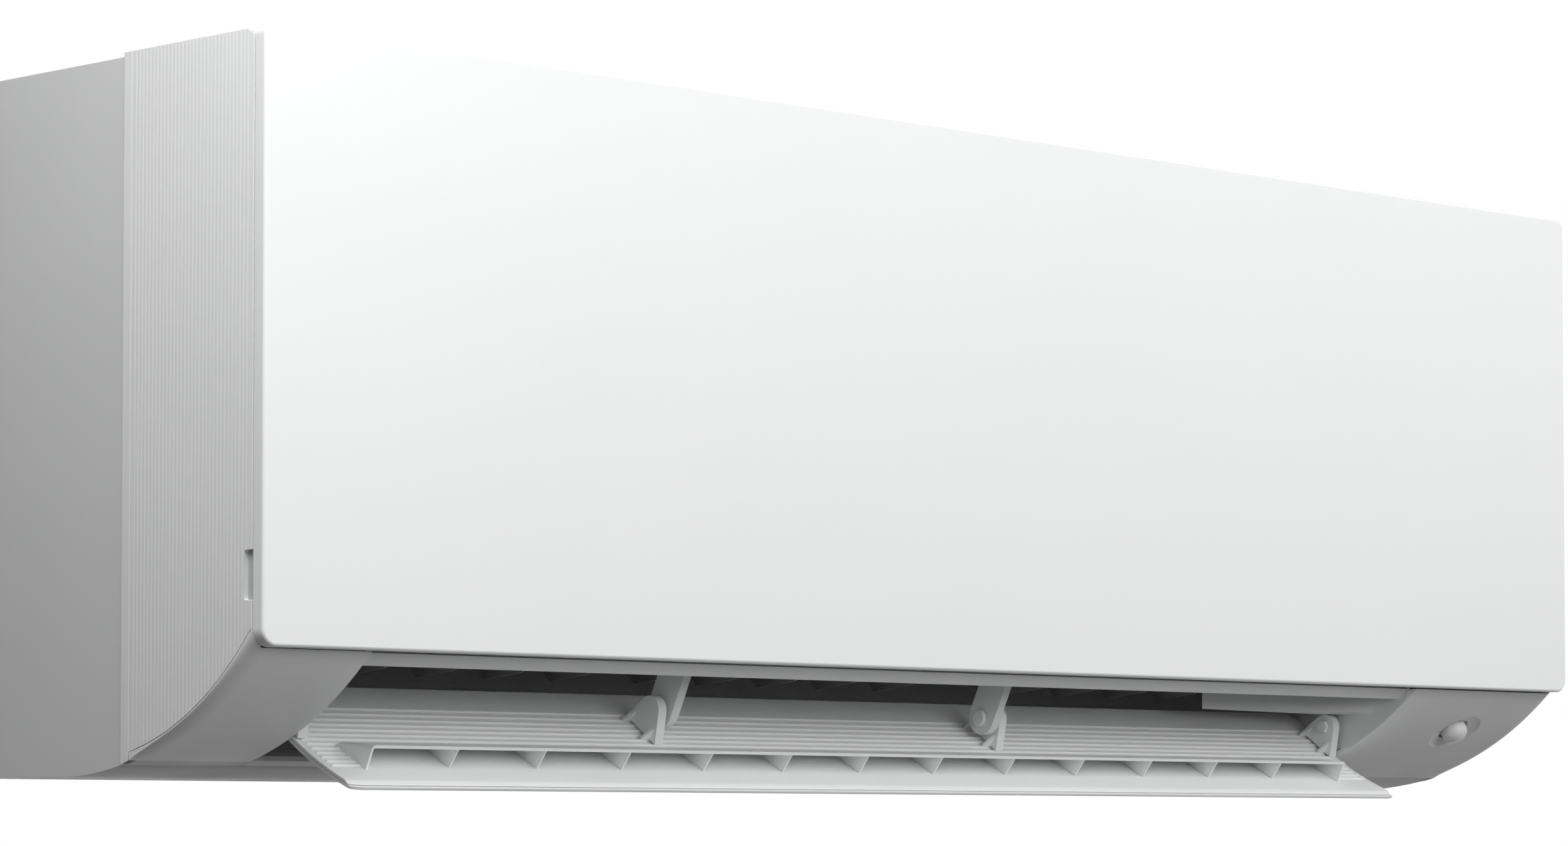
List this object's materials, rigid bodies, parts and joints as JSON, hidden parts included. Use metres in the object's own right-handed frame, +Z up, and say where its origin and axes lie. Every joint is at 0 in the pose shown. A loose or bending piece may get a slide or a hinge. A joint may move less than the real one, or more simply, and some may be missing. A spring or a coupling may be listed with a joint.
{
  "type": "wall split air conditioner indoor unit",
  "caption": "Wall-mounted air conditioner with a flat lift-up panel, ribbed sides, a turning outlet flap, swinging vanes and a wall plate.",
  "frame": {"origin": "on the wall, at the centre of the mounting plate's back", "axes": "+Z up, +Y into the wall, +X to the right for someone who looks at the front"},
  "size_m": [0.865, 0.205, 0.3042],
  "materials": {
    "white_casing": "white, satin",
    "ribbed_white": "white, satin",
    "chassis_white": "off-white, matt",
    "inner_white": "off-white, matt",
    "flap_white": "white, satin",
    "filter_grey": "grey, matt",
    "sensor_white": "milky white",
    "zinc_steel": "zinc-coated sheet",
    "fin_aluminium": "fin stock",
    "shaft_steel": "ground",
    "motor_black": "black, matt",
    "motor_can": "pressed can",
    "board_green": "green, matt",
    "terminal_black": "black, matt",
    "bearing_rubber": "black",
    "button_grey": "light grey"
  },
  "bodies": {
    "casing": {"rear_chassis": "chassis_white", "left_side_cover": "ribbed_white", "right_side_cover": "ribbed_white", "outlet_surround": "white_casing", "top_grille": "white_casing", "front_frame": "inner_white", "mounting_plate": "zinc_steel", "sensor_dome": "sensor_white", "outlet_duct": "inner_white", "electrical_box": "inner_white", "control_board": "board_green", "terminal_block": "terminal_black", "receiver_board": "board_green", "evaporator_front": "fin_aluminium", "evaporator_top": "fin_aluminium", "evaporator_rear": "fin_aluminium", "evaporator_end_left": "zinc_steel", "evaporator_end_right": "zinc_steel", "fan_bearing": "bearing_rubber", "fan_motor": "motor_black", "flap_motor": "motor_can", "vane_motor": "motor_can", "flap_hanger_1": "inner_white", "flap_hanger_2": "inner_white"},
    "panel": {"front_panel": "white_casing"},
    "left_filter": {"filter_left": "filter_grey"},
    "right_filter": {"filter_right": "filter_grey"},
    "fan": {"cross_flow_fan": "inner_white", "fan_axle": "shaft_steel", "motor_shaft": "shaft_steel"},
    "flap": {"flap_outer": "flap_white", "flap_inner": "flap_white", "flap_wing": "flap_white", "flap_bracket_1": "flap_white", "flap_bracket_2": "flap_white", "flap_bracket_3": "flap_white", "flap_bracket_4": "flap_white", "flap_drive_shaft": "flap_white", "flap_pin_1": "flap_white", "flap_pin_2": "flap_white", "flap_pin_left": "flap_white"},
    "button": {"manual_button": "button_grey"},
    "air_vane_01": {"vane_01": "inner_white"},
    "air_vane_02": {"vane_02": "inner_white"},
    "air_vane_03": {"vane_03": "inner_white"},
    "air_vane_04": {"vane_04": "inner_white"},
    "air_vane_05": {"vane_05": "inner_white"},
    "air_vane_06": {"vane_06": "inner_white"},
    "air_vane_07": {"vane_07": "inner_white"},
    "air_vane_08": {"vane_08": "inner_white"},
    "air_vane_09": {"vane_09": "inner_white"},
    "air_vane_10": {"vane_10": "inner_white"},
    "air_vane_11": {"vane_11": "inner_white"},
    "air_vane_12": {"vane_12": "inner_white"},
    "air_vane_13": {"vane_13": "inner_white"},
    "air_vane_14": {"vane_14": "inner_white"},
    "air_vane_15": {"vane_15": "inner_white"},
    "air_link_1": {"vane_link_1": "inner_white"},
    "air_link_2": {"vane_link_2": "inner_white"},
    "air_link_3": {"vane_link_3": "inner_white"}
  },
  "joints": [
    {"name": "panel_hinge", "type": "hinge", "parent": "casing", "child": "panel", "pos_m": [0, -0.194, 0.142], "axis": [-1, 0, 0], "range_deg": [0, 60]},
    {"name": "left_filter_slide", "type": "slide", "parent": "casing", "child": "left_filter", "axis": [0, 0, 1], "range_m": [0, 0.225]},
    {"name": "right_filter_slide", "type": "slide", "parent": "casing", "child": "right_filter", "axis": [0, 0, 1], "range_m": [0, 0.225]},
    {"name": "fan_spin", "type": "hinge", "parent": "casing", "child": "fan", "pos_m": [0, -0.087, -0.025], "axis": [1, 0, 0], "continuous": true},
    {"name": "flap_hinge", "type": "hinge", "parent": "casing", "child": "flap", "pos_m": [0, -0.1445, -0.1185], "axis": [1, 0, 0], "range_deg": [-61.8, 8]},
    {"name": "button_press", "type": "slide", "parent": "casing", "child": "button", "axis": [0, 1, 0], "range_m": [0, 0.0015], "stiffness_N_per_m": 300},
    {"name": "vane_01_swing", "type": "hinge", "parent": "casing", "child": "air_vane_01", "pos_m": [-0.317, -0.135, -0.0765], "axis": [0, 0, 1], "range_deg": [-30, 30]},
    {"name": "vane_02_swing", "type": "hinge", "parent": "casing", "child": "air_vane_02", "pos_m": [-0.27849, -0.135, -0.0765], "axis": [0, 0, 1], "range_deg": [-30, 30]},
    {"name": "vane_03_swing", "type": "hinge", "parent": "casing", "child": "air_vane_03", "pos_m": [-0.23998, -0.135, -0.0765], "axis": [0, 0, 1], "range_deg": [-30, 30]},
    {"name": "vane_04_swing", "type": "hinge", "parent": "casing", "child": "air_vane_04", "pos_m": [-0.20147, -0.135, -0.0765], "axis": [0, 0, 1], "range_deg": [-30, 30]},
    {"name": "vane_05_swing", "type": "hinge", "parent": "casing", "child": "air_vane_05", "pos_m": [-0.15052, -0.135, -0.0765], "axis": [0, 0, 1], "range_deg": [-30, 30]},
    {"name": "vane_06_swing", "type": "hinge", "parent": "casing", "child": "air_vane_06", "pos_m": [-0.11202, -0.135, -0.0765], "axis": [0, 0, 1], "range_deg": [-30, 30]},
    {"name": "vane_07_swing", "type": "hinge", "parent": "casing", "child": "air_vane_07", "pos_m": [-0.07351, -0.135, -0.0765], "axis": [0, 0, 1], "range_deg": [-30, 30]},
    {"name": "vane_08_swing", "type": "hinge", "parent": "casing", "child": "air_vane_08", "pos_m": [-0.035, -0.135, -0.0765], "axis": [0, 0, 1], "range_deg": [-30, 30]},
    {"name": "vane_09_swing", "type": "hinge", "parent": "casing", "child": "air_vane_09", "pos_m": [0.00351, -0.135, -0.0765], "axis": [0, 0, 1], "range_deg": [-30, 30]},
    {"name": "vane_10_swing", "type": "hinge", "parent": "casing", "child": "air_vane_10", "pos_m": [0.09251, -0.135, -0.0765], "axis": [0, 0, 1], "range_deg": [-30, 30]},
    {"name": "vane_11_swing", "type": "hinge", "parent": "casing", "child": "air_vane_11", "pos_m": [0.13102, -0.135, -0.0765], "axis": [0, 0, 1], "range_deg": [-30, 30]},
    {"name": "vane_12_swing", "type": "hinge", "parent": "casing", "child": "air_vane_12", "pos_m": [0.16953, -0.135, -0.0765], "axis": [0, 0, 1], "range_deg": [-30, 30]},
    {"name": "vane_13_swing", "type": "hinge", "parent": "casing", "child": "air_vane_13", "pos_m": [0.20803, -0.135, -0.0765], "axis": [0, 0, 1], "range_deg": [-30, 30]},
    {"name": "vane_14_swing", "type": "hinge", "parent": "casing", "child": "air_vane_14", "pos_m": [0.24654, -0.135, -0.0765], "axis": [0, 0, 1], "range_deg": [-30, 30]},
    {"name": "vane_15_swing", "type": "hinge", "parent": "casing", "child": "air_vane_15", "pos_m": [0.28505, -0.135, -0.0765], "axis": [0, 0, 1], "range_deg": [-30, 30]},
    {"name": "link_1_slide", "type": "slide", "parent": "casing", "child": "air_link_1", "axis": [1, 0, 0], "range_m": [-0.00733, 0.00733]},
    {"name": "link_2_slide", "type": "slide", "parent": "casing", "child": "air_link_2", "axis": [1, 0, 0], "range_m": [-0.00733, 0.00733]},
    {"name": "link_3_slide", "type": "slide", "parent": "casing", "child": "air_link_3", "axis": [1, 0, 0], "range_m": [-0.00733, 0.00733]}
  ],
  "couplings": [
    {"joint": "vane_01_swing", "follows": "link_1_slide", "rad_per_m": -71.429},
    {"joint": "vane_02_swing", "follows": "link_1_slide", "rad_per_m": -71.429},
    {"joint": "vane_03_swing", "follows": "link_1_slide", "rad_per_m": -71.429},
    {"joint": "vane_04_swing", "follows": "link_1_slide", "rad_per_m": -71.429},
    {"joint": "vane_05_swing", "follows": "link_1_slide", "rad_per_m": -71.429},
    {"joint": "vane_06_swing", "follows": "link_1_slide", "rad_per_m": -71.429},
    {"joint": "vane_07_swing", "follows": "link_1_slide", "rad_per_m": -71.429},
    {"joint": "vane_08_swing", "follows": "link_1_slide", "rad_per_m": -71.429},
    {"joint": "vane_09_swing", "follows": "link_1_slide", "rad_per_m": -71.429},
    {"joint": "vane_10_swing", "follows": "link_1_slide", "rad_per_m": -71.429},
    {"joint": "vane_11_swing", "follows": "link_1_slide", "rad_per_m": -71.429},
    {"joint": "vane_12_swing", "follows": "link_1_slide", "rad_per_m": -71.429},
    {"joint": "vane_13_swing", "follows": "link_1_slide", "rad_per_m": -71.429},
    {"joint": "vane_14_swing", "follows": "link_1_slide", "rad_per_m": -71.429},
    {"joint": "vane_15_swing", "follows": "link_1_slide", "rad_per_m": -71.429},
    {"joint": "link_2_slide", "follows": "link_1_slide", "ratio": 1},
    {"joint": "link_3_slide", "follows": "link_1_slide", "ratio": 1}
  ]
}
